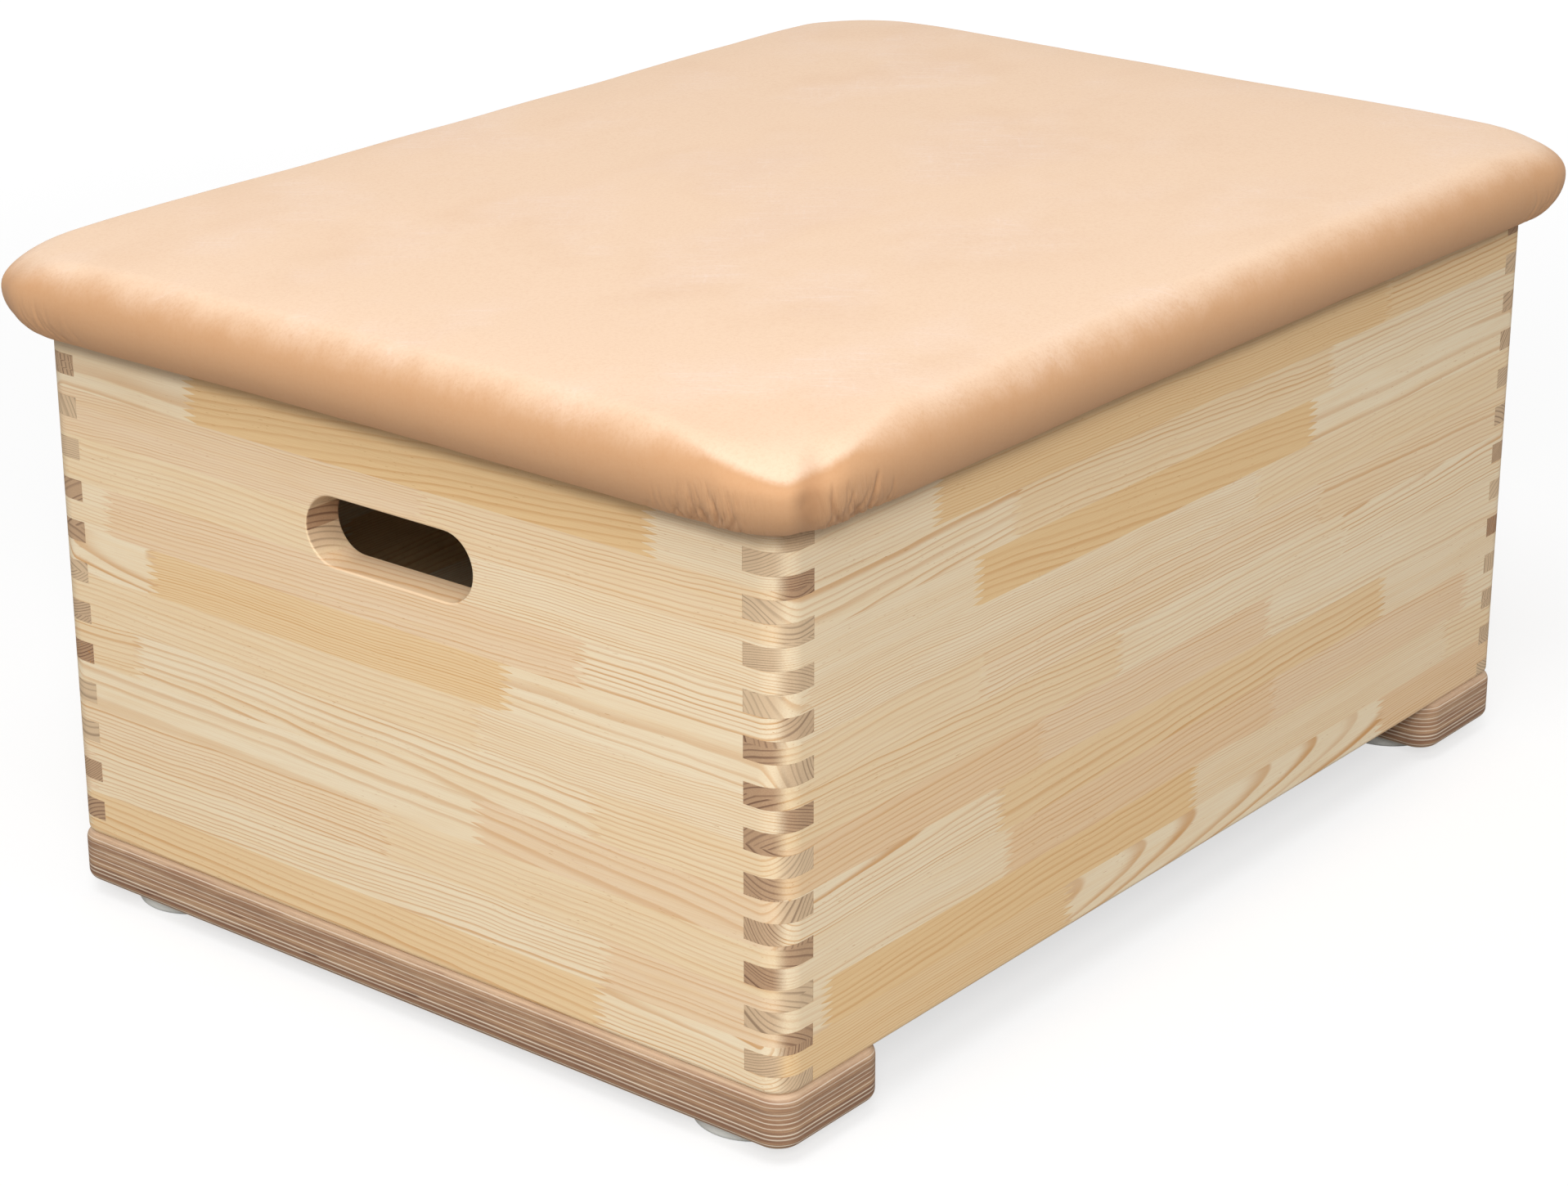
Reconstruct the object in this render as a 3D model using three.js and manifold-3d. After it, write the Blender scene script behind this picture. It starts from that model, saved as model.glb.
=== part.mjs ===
// A small vaulting box for the gym: a pine body with finger-jointed corners, a padded leather top,
// and two plywood battens underneath that stand on plastic glides.
// Millimetres, +Z up. The origin is on the floor, under the middle of the box; +X runs along its length.

import * as THREE from 'three';
import { mergeVertices } from 'three/addons/utils/BufferGeometryUtils.js';
import Module from 'manifold-3d';

const wasm = await Module();
wasm.setup();

// Clearances
const seat = 0.3; // between two pieces that lie on each other
const fingerPlay = 0.3; // between the fingers of a corner
const screwPlay = 0.3; // between a screw and its hole
const overrun = 5; // how far a cutter runs out of what it cuts

// Pine body
const bodyLength = 746;
const bodyWidth = 536;
const panelHeight = 309;
const panelThickness = 25;
const arrisRadius = 16; // upright outer edges
const bodyEdgeRadius = 3; // lower and upper outer edges
const fingerPitch = 12.5;
const lowestFinger = 10.5; // trimmed with the panel's lower edge
const shortestFinger = 3; // what is left over at the top joins the finger below if it is shorter

// Hand slot in each end panel
const slotLength = 122;
const slotHeight = 40;
const slotDrop = 70; // from the panel's upper edge to the middle of the slot

// Plywood battens under the end panels
const battenWidth = 88;
const battenThickness = 32;
const battenProud = 1; // stands out from the body all round
const battenCornerRadius = 15;
const battenEdgeRadius = 6;

// Plastic glides under the battens
const glideRadius = 34;
const glideHeight = 10;
const glideSoleRadius = 31.5;
const glideRimHeight = 7.5;
const glideFromEnd = 54; // from the batten's end to the glide's middle

// Rails that hold the top from inside
const railHeight = 30;
const railThickness = 25;
const railEdgeRadius = 2;

// Padded top
const padOverhang = 27; // how far it stands out from the body all round
const padCornerRadius = 46; // where the pad is widest
const padRimHeight = 50; // from the underside to the top of the rim
const padCrown = 4; // how much the middle stands above the rim
const padSideDraw = 3; // how far the sides pull in between the corners
const lowerRoll = { reach: 12, height: 25, cornerRadius: 50 }; // from the pad's side to its underside
const upperRoll = { reach: 22, height: 24, cornerRadius: 63 }; // from the pad's side to its rim
const leatherThickness = 2.5;
const hemBack = 5; // from the edge of the turned-under leather to the panels' inner faces
const boardThickness = 15;
const boardBack = 2; // from the pad's lower edge, where it is pulled in furthest, to the board's edge

// Countersunk wood screws, all driven from below
const screwSink = 1; // of a head below the wood's surface
const battenScrew = { length: 70, shankRadius: 3, headRadius: 6, headHeight: 3.5, count: 3, fromEnd: 90 };
const railScrew = { length: 40, shankRadius: 2.5, headRadius: 5, headHeight: 3, fromEnd: 60 };
const glideScrew = { length: 28, shankRadius: 2, headRadius: 4, headHeight: 2.4, sink: 3 };
const longRailScrews = 3;
const shortRailScrews = 2;
const screwTipShare = 0.12; // of the screw's length
const driveRadiusShare = 0.55; // of the head's radius
const driveDepthShare = 0.6; // of the head's height

// How finely round stretches are cut
const bodySteps = { corner: 5, edge: 2 };
const battenSteps = { corner: 5, edge: 3 };
const railEdgeSteps = 2;
const slotSteps = 12;
const screwSides = 10;
const glideSides = 28;
const glideRoundSteps = 5;
const padCornerSteps = 6;
const padSideSteps = 4;
const padRollSteps = 5;
const padCrownSteps = 3;

// Heights, from the floor up
const battenZ = glideHeight + seat;
const panelZ = battenZ + battenThickness + seat;
const padZ = panelZ + panelHeight + seat;
const boardZ = padZ + leatherThickness + seat;
const railZ = boardZ - seat - railHeight;

// Places that several pieces share, at the left end and the front side
const battenLength = bodyWidth + 2 * battenProud;
const battenX = -bodyLength / 2 - battenProud + battenWidth / 2;
const endPanelX = -bodyLength / 2 + panelThickness / 2;
const glideY = battenLength / 2 - glideFromEnd;
const shortRailX = -bodyLength / 2 + panelThickness + seat + railThickness / 2;
const longRailY = -bodyWidth / 2 + panelThickness + seat + railThickness / 2;
const longRailLength = bodyLength - 2 * (panelThickness + seat);
const shortRailLength = bodyWidth - 2 * (panelThickness + railThickness + 2 * seat);
const padLength = bodyLength + 2 * padOverhang;
const padWidth = bodyWidth + 2 * padOverhang;
const hemReach = padOverhang + panelThickness - hemBack; // how far in the leather is turned under
const boardInset = lowerRoll.reach + padSideDraw + boardBack; // from the pad's side to the board's edge

const battenScrewYs = spread(battenScrew.count, battenLength - 2 * battenScrew.fromEnd);
const longRailScrewXs = spread(longRailScrews, longRailLength - 2 * railScrew.fromEnd);
const shortRailScrewYs = spread(shortRailScrews, shortRailLength - 2 * railScrew.fromEnd);

// Materials
const pine = new THREE.MeshStandardMaterial({ color: 0xe9d3a6, roughness: 0.55, flatShading: true });
const plywood = new THREE.MeshStandardMaterial({ color: 0xbf9a80, roughness: 0.6, flatShading: true });
const plastic = new THREE.MeshStandardMaterial({ color: 0xe8e6e0, roughness: 0.4, flatShading: true });
const zinc = new THREE.MeshStandardMaterial({ color: 0xb9bcc0, roughness: 0.35, metalness: 1, flatShading: true });
const leather = new THREE.MeshStandardMaterial({ color: 0xf0c79c, roughness: 0.85, flatShading: true });
const foam = new THREE.MeshStandardMaterial({ color: 0xcfc8b8, roughness: 0.95, flatShading: true });

const alongX = new THREE.Vector3(1, 0, 0);
const alongY = new THREE.Vector3(0, 1, 0);
const alongZ = new THREE.Vector3(0, 0, 1);

// Evenly spaced places over a span, centred on zero
function spread(count, span) {
  return Array.from({ length: count }, (_, i) => (count > 1 ? (i / (count - 1) - 1 / 2) * span : 0));
}

// A solid from a closed geometry: corners that coincide are joined and triangles that close up are dropped
function toSolid(geometry) {
  geometry.deleteAttribute('normal');
  geometry.deleteAttribute('uv');
  const merged = mergeVertices(geometry);
  const corners = merged.index.array;
  const kept = [];
  for (let i = 0; i < corners.length; i += 3) {
    const [a, b, c] = corners.slice(i, i + 3);
    if (a !== b && b !== c && c !== a) kept.push(a, b, c);
  }
  const vertProperties = new Float32Array(merged.attributes.position.array);
  return new wasm.Manifold(new wasm.Mesh({ numProp: 3, vertProperties, triVerts: new Uint32Array(kept) }));
}

function toGeometry(solid) {
  const mesh = solid.getMesh();
  const geometry = new THREE.BufferGeometry();
  geometry.setAttribute('position', new THREE.BufferAttribute(mesh.vertProperties, 3));
  geometry.setIndex(new THREE.BufferAttribute(mesh.triVerts, 1));
  geometry.computeVertexNormals();
  return geometry;
}

// A solid turned about +Z from a profile of [radius, height] pairs that starts and ends on the axis
function turned(profile, sides) {
  const points = profile.map(([radius, height]) => new THREE.Vector2(radius, height));
  return toSolid(new THREE.LatheGeometry(points, sides).rotateX(Math.PI / 2));
}

// A rectangle with rounded corners about the origin
function roundedRectangle(length, width, radius) {
  const x = length / 2 - radius;
  const y = width / 2 - radius;
  const outline = new THREE.Shape();
  const corners = [[x, y], [-x, y], [-x, -y], [x, -y]];
  corners.forEach(([cornerX, cornerY], i) => {
    outline.absarc(cornerX, cornerY, radius, (i * Math.PI) / 2, ((i + 1) * Math.PI) / 2, false);
  });
  return outline;
}

// A block with rounded upright corners and rounded edges, standing on z = 0
function roundedBlock(length, width, height, cornerRadius, edgeRadius, steps) {
  const geometry = new THREE.ExtrudeGeometry(roundedRectangle(length, width, cornerRadius), {
    depth: height - 2 * edgeRadius,
    curveSegments: steps.corner,
    bevelThickness: edgeRadius,
    bevelSize: edgeRadius,
    bevelOffset: -edgeRadius,
    bevelSegments: steps.edge,
  });
  return toSolid(geometry.translate(0, 0, edgeRadius));
}

// A countersunk screw with its head's face on z = 0 and its tip upwards
function screwSolid({ length, shankRadius, headRadius, headHeight }) {
  return turned([
    [0, headHeight * driveDepthShare],
    [headRadius * driveRadiusShare, 0],
    [headRadius, 0],
    [shankRadius, headHeight],
    [shankRadius, length * (1 - screwTipShare)],
    [0, length],
  ], screwSides);
}

// The hole that a screw runs in, open below its head
function screwHole({ length, shankRadius, headRadius, headHeight }, x, y, z) {
  return turned([
    [0, -overrun - glideHeight],
    [headRadius + screwPlay, -overrun - glideHeight],
    [headRadius + screwPlay, 0],
    [shankRadius + screwPlay, headHeight],
    [shankRadius + screwPlay, length + screwPlay],
    [0, length + screwPlay],
  ], screwSides).translate([x, y, z]);
}

function drilled(solid, holes) {
  return holes.reduce((rest, hole) => rest.subtract(hole), solid);
}

// Heights of the cuts between the fingers, from the panel's lower edge to its upper edge
function fingerCuts() {
  const cuts = [0];
  for (let z = lowestFinger; panelHeight - z > shortestFinger; z += fingerPitch) cuts.push(z);
  return [...cuts, panelHeight];
}

// A panel's slab with fingers at both ends: every second row reaches the body's outside
function fingeredSlab(width, firstRowReaches) {
  const cuts = fingerCuts();
  const edge = [];
  for (let row = 0; row + 1 < cuts.length; row += 1) {
    const reaches = (row % 2 === 0) === firstRowReaches;
    const x = reaches ? width / 2 : width / 2 - panelThickness - fingerPlay;
    const shrink = reaches ? fingerPlay / 2 : -fingerPlay / 2;
    const low = row === 0 ? cuts[row] : cuts[row] + shrink;
    const high = row + 2 === cuts.length ? cuts[row + 1] : cuts[row + 1] - shrink;
    edge.push(new THREE.Vector2(x, low), new THREE.Vector2(x, high));
  }
  const otherEdge = edge.map(({ x, y }) => new THREE.Vector2(-x, y)).reverse();
  const outline = new THREE.Shape([...edge, ...otherEdge]);
  return new THREE.ExtrudeGeometry(outline, { depth: panelThickness, bevelEnabled: false });
}

// The body's outer form, which rounds the panels where they meet
function bodyForm() {
  return roundedBlock(bodyLength, bodyWidth, panelHeight, arrisRadius, bodyEdgeRadius, bodySteps);
}

function handSlot() {
  const radius = slotHeight / 2;
  const reach = slotLength / 2 - radius;
  const outline = new THREE.Shape();
  outline.absarc(reach, 0, radius, -Math.PI / 2, Math.PI / 2, false);
  outline.absarc(-reach, 0, radius, Math.PI / 2, (3 * Math.PI) / 2, false);
  const depth = panelThickness + 2 * overrun;
  const geometry = new THREE.ExtrudeGeometry(outline, { depth, bevelEnabled: false, curveSegments: slotSteps });
  const upright = new THREE.Matrix4().makeBasis(alongY, alongZ, alongX);
  geometry.applyMatrix4(upright).translate(-bodyLength / 2 - overrun, 0, panelHeight - slotDrop);
  return toSolid(geometry);
}

// The left end panel, with z = 0 at its lower edge
function endPanelSolid() {
  const slab = fingeredSlab(bodyWidth, true);
  slab.applyMatrix4(new THREE.Matrix4().makeBasis(alongY, alongZ, alongX)).translate(-bodyLength / 2, 0, 0);
  const headZ = battenZ + screwSink - panelZ;
  const holes = battenScrewYs.map((y) => screwHole(battenScrew, endPanelX, y, headZ));
  return drilled(toSolid(slab).intersect(bodyForm()).subtract(handSlot()), holes);
}

// The front side panel, with z = 0 at its lower edge
function sidePanelSolid() {
  const slab = fingeredSlab(bodyLength, false);
  const upright = new THREE.Matrix4().makeBasis(alongX, alongZ, alongY.clone().negate());
  slab.applyMatrix4(upright).translate(0, -bodyWidth / 2 + panelThickness, 0);
  return toSolid(slab).intersect(bodyForm());
}

// A batten, with its middle at x = 0 and z = 0 at its underside
function battenSolid() {
  const size = [battenWidth, battenLength, battenThickness];
  const block = roundedBlock(...size, battenCornerRadius, battenEdgeRadius, battenSteps);
  const holes = battenScrewYs.map((y) => screwHole(battenScrew, endPanelX - battenX, y, screwSink));
  const glideHeadZ = glideScrew.sink - battenZ;
  holes.push(...[-glideY, glideY].map((y) => screwHole(glideScrew, 0, y, glideHeadZ)));
  return drilled(block, holes);
}

// A glide: a disc with a flat sole and a slightly rounded lower edge
function glideSolid() {
  const round = Array.from({ length: glideRoundSteps + 1 }, (_, i) => {
    const angle = ((i / glideRoundSteps) * Math.PI) / 2;
    const reach = (glideRadius - glideSoleRadius) * Math.sin(angle);
    return [glideSoleRadius + reach, (glideHeight - glideRimHeight) * (1 - Math.cos(angle))];
  });
  const disc = turned([[0, 0], ...round, [glideRadius, glideHeight], [0, glideHeight]], glideSides);
  return drilled(disc, [screwHole(glideScrew, 0, 0, glideScrew.sink)]);
}

// A rail along +X, with z = 0 at its underside, and screws at the places given
function railSolid(length, screwXs) {
  const section = roundedRectangle(railThickness, railHeight, railEdgeRadius);
  const bar = new THREE.ExtrudeGeometry(section, { depth: length, bevelEnabled: false, curveSegments: railEdgeSteps });
  bar.applyMatrix4(new THREE.Matrix4().makeBasis(alongY, alongZ, alongX)).translate(-length / 2, 0, railHeight / 2);
  return drilled(toSolid(bar), screwXs.map((x) => screwHole(railScrew, x, 0, screwSink)));
}

// The pad's outline seen from above, inset all round, with its corners rounded by a radius
// and its sides pulled in by draw between them
function padOutline(inset, radius, draw) {
  const halfLength = padLength / 2 - inset;
  const halfWidth = padWidth / 2 - inset;
  const corners = [[1, 1], [-1, 1], [-1, -1], [1, -1]];
  const round = corners.map(([signX, signY], corner) =>
    Array.from({ length: padCornerSteps + 1 }, (_, i) => {
      const angle = ((corner + i / padCornerSteps) * Math.PI) / 2;
      const x = signX * (halfLength - radius) + radius * Math.cos(angle);
      const y = signY * (halfWidth - radius) + radius * Math.sin(angle);
      return new THREE.Vector2(x, y);
    }));
  const points = round.flatMap((arc, corner) => {
    const start = arc[padCornerSteps];
    const end = round[(corner + 1) % corners.length][0];
    const side = Array.from({ length: padSideSteps - 1 }, (_, i) => start.clone().lerp(end, (i + 1) / padSideSteps));
    return [...arc, ...side];
  });
  return points.map(({ x, y }) => {
    const drawX = draw * Math.sign(x) * Math.max(0, 1 - (y / (halfWidth - radius)) ** 2);
    const drawY = draw * Math.sign(y) * Math.max(0, 1 - (x / (halfLength - radius)) ** 2);
    const onSideX = Math.abs(x) > halfLength - radius;
    const onSideY = Math.abs(y) > halfWidth - radius;
    return new THREE.Vector2(onSideX ? x - drawX : x, onSideY ? y - drawY : y);
  });
}

// A closed skin through rings that are given from one pole to the other, the outside first.
// Each ring is the pad's outline at an inset, scaled about the middle; scale 0 is a pole.
function padSkin(rings) {
  const loops = rings.map(({ inset, radius, scale, z, draw = padSideDraw }) => {
    const outline = scale > 0 ? padOutline(inset, radius, draw) : [new THREE.Vector2()];
    return outline.map(({ x, y }) => [x * scale, y * scale, z]);
  });
  const starts = loops.map((_, i) => loops.slice(0, i).reduce((sum, loop) => sum + loop.length, 0));
  const faces = [];
  for (let ring = 0; ring + 1 < loops.length; ring += 1) {
    const count = Math.max(loops[ring].length, loops[ring + 1].length);
    const at = (which, i) => starts[which] + (i % loops[which].length);
    for (let i = 0; i < count; i += 1) {
      if (loops[ring].length > 1) faces.push(at(ring, i), at(ring + 1, i), at(ring, i + 1));
      if (loops[ring + 1].length > 1) faces.push(at(ring, i + 1), at(ring + 1, i), at(ring + 1, i + 1));
    }
  }
  const geometry = new THREE.BufferGeometry();
  geometry.setAttribute('position', new THREE.Float32BufferAttribute(loops.flat(2), 3));
  geometry.setIndex(faces);
  return toSolid(geometry);
}

// The rings from the pad's crown to its underside, at a depth below the leather's outside
function padRings(depth) {
  const steps = (count) => Array.from({ length: count + 1 }, (_, i) => i / count);
  const side = { inset: depth, radius: padCornerRadius - depth };
  const between = (end, share) => ({
    inset: end.reach + (side.inset - end.reach) * share,
    radius: end.cornerRadius + (side.radius - end.cornerRadius) * share,
    scale: 1,
  });
  const crown = steps(padCrownSteps).map((scale) => (
    { ...between(upperRoll, 0), scale, z: padRimHeight - depth + padCrown * (1 - scale ** 2) }
  ));
  const upper = steps(padRollSteps).slice(1).map((share) => {
    const angle = (share * Math.PI) / 2;
    const z = padRimHeight - upperRoll.height + (upperRoll.height - depth) * Math.cos(angle);
    return { ...between(upperRoll, Math.sin(angle)), z };
  });
  const lower = steps(padRollSteps).map((share) => {
    const angle = (share * Math.PI) / 2;
    const z = lowerRoll.height - (lowerRoll.height - depth) * Math.sin(angle);
    return { ...between(lowerRoll, Math.cos(angle)), z };
  });
  return [...crown, ...upper, ...lower];
}

// The radius of the pad's lower corners, further in under the pad
function undersideRadius(inset) {
  return Math.max(lowerRoll.cornerRadius - (inset - lowerRoll.reach), 0);
}

// The leather, one skin over the foam whose hem is turned under the board, with z = 0 at its underside
function coverSolid() {
  const hem = [0, leatherThickness].map((z) => (
    { inset: hemReach, radius: undersideRadius(hemReach), scale: 1, z }
  ));
  return padSkin([...padRings(0), ...hem, ...padRings(leatherThickness).reverse()]);
}

// The foam, with a recess for the board on its underside
function foamSolid() {
  const inset = boardInset - seat;
  const outline = { inset, radius: undersideRadius(inset), draw: 0 };
  const boardTop = boardZ - padZ + boardThickness + seat;
  const recess = [
    { ...outline, scale: 1, z: boardZ - padZ },
    { ...outline, scale: 1, z: boardTop },
    { ...outline, scale: 0, z: boardTop },
  ];
  return padSkin([...padRings(boardZ - padZ), ...recess]);
}

// The board that carries the foam, with z = 0 at its underside
function boardSolid() {
  const outline = new THREE.Shape(padOutline(boardInset, undersideRadius(boardInset), 0));
  const block = toSolid(new THREE.ExtrudeGeometry(outline, { depth: boardThickness, bevelEnabled: false }));
  const headZ = railZ + screwSink - boardZ;
  const holes = [-1, 1].flatMap((side) => [
    ...longRailScrewXs.map((x) => screwHole(railScrew, x, side * longRailY, headZ)),
    ...shortRailScrewYs.map((y) => screwHole(railScrew, side * shortRailX, y, headZ)),
  ]);
  return drilled(block, holes);
}

function piece(name, geometry, material, x = 0, y = 0, z = 0) {
  const mesh = new THREE.Mesh(geometry, material);
  mesh.name = name;
  mesh.position.set(x, y, z);
  return mesh;
}

const endPanel = toGeometry(endPanelSolid());
const sidePanel = toGeometry(sidePanelSolid());
const batten = toGeometry(battenSolid());
const glide = toGeometry(glideSolid());
const longRail = toGeometry(railSolid(longRailLength, longRailScrewXs));
const shortRail = toGeometry(railSolid(shortRailLength, shortRailScrewYs));
const screws = {
  batten: toGeometry(screwSolid(battenScrew)),
  rail: toGeometry(screwSolid(railScrew)),
  glide: toGeometry(screwSolid(glideScrew)),
};

// One end of the box, drawn at the left: panel, batten, glides, rail and their screws
function boxEnd(side) {
  const end = new THREE.Group();
  end.add(piece(`end_panel_${side}`, endPanel, pine, 0, 0, panelZ));
  end.add(piece(`base_batten_${side}`, batten, plywood, battenX, 0, battenZ));
  battenScrewYs.forEach((y, i) => {
    end.add(piece(`batten_screw_${side}_${i + 1}`, screws.batten, zinc, endPanelX, y, battenZ + screwSink));
  });
  [-glideY, glideY].forEach((y, i) => {
    end.add(piece(`glide_${side}_${i + 1}`, glide, plastic, battenX, y, 0));
    end.add(piece(`glide_screw_${side}_${i + 1}`, screws.glide, zinc, battenX, y, glideScrew.sink));
  });
  const rail = piece(`rail_${side}`, shortRail, pine, shortRailX, 0, railZ);
  rail.rotation.z = Math.PI / 2;
  end.add(rail);
  shortRailScrewYs.forEach((y, i) => {
    end.add(piece(`rail_screw_${side}_${i + 1}`, screws.rail, zinc, shortRailX, y, railZ + screwSink));
  });
  return end;
}

// One long side of the box, drawn at the front: panel, rail and its screws
function boxSide(side) {
  const group = new THREE.Group();
  group.add(piece(`side_panel_${side}`, sidePanel, pine, 0, 0, panelZ));
  group.add(piece(`rail_${side}`, longRail, pine, 0, longRailY, railZ));
  longRailScrewXs.forEach((x, i) => {
    group.add(piece(`rail_screw_${side}_${i + 1}`, screws.rail, zinc, x, longRailY, railZ + screwSink));
  });
  return group;
}

function paddedTop() {
  const top = new THREE.Group();
  top.position.z = padZ;
  top.add(piece('top_board', toGeometry(boardSolid()), plywood, 0, 0, boardZ - padZ));
  top.add(piece('pad_foam', toGeometry(foamSolid()), foam));
  top.add(piece('leather_cover', toGeometry(coverSolid()), leather));
  return top;
}

const vaultingBox = new THREE.Group();
const ends = [boxEnd('left'), boxEnd('right')];
const sides = [boxSide('front'), boxSide('back')];
ends[1].rotation.z = Math.PI;
sides[1].rotation.z = Math.PI;
vaultingBox.add(...ends, ...sides, paddedTop());

export default vaultingBox;
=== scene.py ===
"""A small vaulting box: a finger-jointed pine body, a rolled leather top, plywood battens and glides."""

import math
import random

import bmesh
import bpy
import numpy as np
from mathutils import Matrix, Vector, noise
from mathutils.bvhtree import BVHTree
from mathutils.interpolate import poly_3d_calc
from mathutils.kdtree import KDTree


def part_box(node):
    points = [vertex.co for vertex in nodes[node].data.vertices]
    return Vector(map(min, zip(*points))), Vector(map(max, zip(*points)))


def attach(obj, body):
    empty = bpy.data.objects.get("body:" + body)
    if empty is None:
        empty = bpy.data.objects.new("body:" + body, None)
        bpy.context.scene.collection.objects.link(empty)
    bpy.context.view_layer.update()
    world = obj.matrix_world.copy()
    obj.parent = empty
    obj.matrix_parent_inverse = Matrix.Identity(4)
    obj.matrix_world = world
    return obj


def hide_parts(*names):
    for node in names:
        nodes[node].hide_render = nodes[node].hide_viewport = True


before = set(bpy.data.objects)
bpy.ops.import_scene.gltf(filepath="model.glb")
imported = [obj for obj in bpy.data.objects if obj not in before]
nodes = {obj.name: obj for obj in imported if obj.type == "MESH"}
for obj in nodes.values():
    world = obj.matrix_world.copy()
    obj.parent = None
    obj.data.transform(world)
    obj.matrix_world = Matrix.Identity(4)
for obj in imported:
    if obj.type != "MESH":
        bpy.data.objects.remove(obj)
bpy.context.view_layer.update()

MM = 0.001
SHARP_ANGLE = math.radians(32)  # between faces that meet in an edge

# Pine body
FINGER_PITCH = 12.5 * MM
LOWEST_FINGER = 10.5 * MM
SHORTEST_FINGER = 3 * MM
FINGER_PLAY = 0.14 * MM
ARRIS_RADIUS = 16 * MM
BODY_EDGE_RADIUS = 3 * MM
ARRIS_STEPS = 14
EDGE_STEPS = 5

# Hand slot
SLOT_LENGTH = 122 * MM
SLOT_HEIGHT = 40 * MM
SLOT_DROP = 70 * MM  # from the panel's upper edge to the middle of the slot
SLOT_EASE = 1.2 * MM  # rounding of the slot's edges
SLOT_STEPS = 20
EASE_STEPS = 3
OVERRUN = 4 * MM  # of the slot's cutter beyond the panel

# Battens
BATTEN_CORNER = 15 * MM
BATTEN_EDGE = 6 * MM
BATTEN_CORNER_STEPS = 10
BATTEN_EDGE_STEPS = 8
BATTEN_PLIES = 21
BOARD_PLIES = 11

# Padded top. A roll is given by how far in it reaches, its height, and its radius round the corners.
PAD_CORNER = 46 * MM  # radius of its corners where it is widest
PAD_CROWN = 4 * MM
PAD_DRAW = 3 * MM  # how far the sides are drawn in between the corners
UPPER_ROLL = (22 * MM, 24 * MM, 52 * MM)
LOWER_ROLL = (20 * MM, 25 * MM, 42 * MM)
LEATHER = 2.5 * MM  # its thickness
HEM_REACH = 47 * MM  # how far in the leather is turned under the pad
FOAM_DEPTH = 5.2 * MM  # from the leather's outside to the foam, clear of the gathers
FOAM_PLAY = 0.3 * MM  # between the foam and the board in it
FINE, COARSE = 1 * MM, 12 * MM  # between the points of the leather, near the corners and along the sides
SPREAD = 62 * MM  # how far along the sides the fine points run

# Corners of the leather, in the order far, left, near and right, as the camera sees them
CORNER_DROPS = np.array((4, 4, 9.5, 4)) * MM  # how far the top is drawn down
CORNER_FOLDS = np.array((0.25, 0.3, 1, 0.3))  # how strongly the leather is folded and gathered
DROP_START, DROP_REACH = 19 * MM, 105 * MM  # from the corner: where the drop is full, how it fades
PINCH = 3.8 * MM  # how far the leather stands out in the fold
PINCH_WIDTHS = (14 * MM, 6.5 * MM)  # of the fold, on either side of its ridge
PLEAT = 1.7 * MM  # depth of the hollow beside the fold
PLEAT_SPOT, PLEAT_WIDTH = 13 * MM, 6.5 * MM
EDGE_SLOPE = (41, 57)  # degrees of slope at which the side's painted shade begins, along the sides and at the corners
EDGE_CHANGE = (38, 10)  # degrees over which it sets in, likewise
TONGUE = 40 * MM  # how far from each corner the paler top, free of the side's painted shade, starts to reach down
PUCKER_SPOT, PUCKER_SPREAD = 38 * MM, 22 * MM  # where the fine puckers are strongest, from the corner
PUCKER_START, PUCKER_FADE = 6 * MM, 26 * MM  # up the side: where they set in, and how they fade
CREASE_DEPTH = 3.2 * MM  # of a gather whose crease is painted fully dark as shade
WAVES = ((85 * MM, 0.5 * MM), (30 * MM, 0.16 * MM))  # length and height of the leather's unevenness

# Gathers of the leather. Places along the side are counted from the corner.
GATHERS = 110  # at each corner
GATHER_SPOTS = (12, 92, 42)  # mm, the nearest, the furthest and the likeliest
GATHER_WIDTHS = (0.75, 1.4)  # mm
GATHER_DEPTH = 1.9 * MM
GATHER_STRENGTHS = (0.35, 1)  # the square of this is a gather's share of the depth
GATHER_LIMIT = 2.2 * MM  # of the depth where several meet
GATHER_MIDDLE, GATHER_FADE = 46 * MM, 60 * MM  # where they are deepest, and how far from there they end
GATHER_LEAN = 0.4  # run along the side for each millimetre of rise
GATHER_BEND = 3.5  # mm
GATHER_TOP = 54 * MM  # the height that their feet and lengths are shares of
GATHER_FEET = (-0.05, 0.34)
GATHER_LENGTHS = (0.2, 0.62)

# The swelling of the pad, as cloth under pressure
SWELL_ROOM = 1 * MM  # how much lower its rim and its crown start
SWELL_VOXEL = 6.5 * MM
SWELL_HOLD = 0.15  # how firmly the foam holds the leather, where 1 is fixed
SWELL_PRESSURE = 4
SWELL_FRAMES = 20
SWELL_CAP = 3.5 * MM  # the furthest that a point may move
SEAT_FADE = 12 * MM  # the height over which the swelling and the gathers set in

BOARD_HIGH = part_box("top_board")[1]
PAD_LOW, PAD_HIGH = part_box("leather_cover")
PAD_X, PAD_Y, PAD_FOOT = -PAD_LOW.x, PAD_HIGH.y, PAD_LOW.z
PAD_RIM = PAD_HIGH.z - PAD_FOOT - PAD_CROWN - SWELL_ROOM
START_CROWN = PAD_CROWN - SWELL_ROOM
LEFT_LOW, LEFT_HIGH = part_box("end_panel_left")
BODY_X = -LEFT_LOW.x
BODY_Y = -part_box("side_panel_front")[0].y
PANEL_Z = LEFT_LOW.z
PANEL_HEIGHT = LEFT_HIGH.z - LEFT_LOW.z
PANEL_THICKNESS = LEFT_HIGH.x - LEFT_LOW.x
ENDS = ("left", "right")
SIDES = (*ENDS, "front", "back")
QUARTERS = ((1, 1), (-1, 1), (-1, -1), (1, -1))


def arithmetic(operation):
    """Two operators that add a Math node, for a socket before the sign and for one behind it."""
    return (lambda value, other: value.graph.math(operation, value, other),
            lambda value, other: value.graph.math(operation, other, value))


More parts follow.
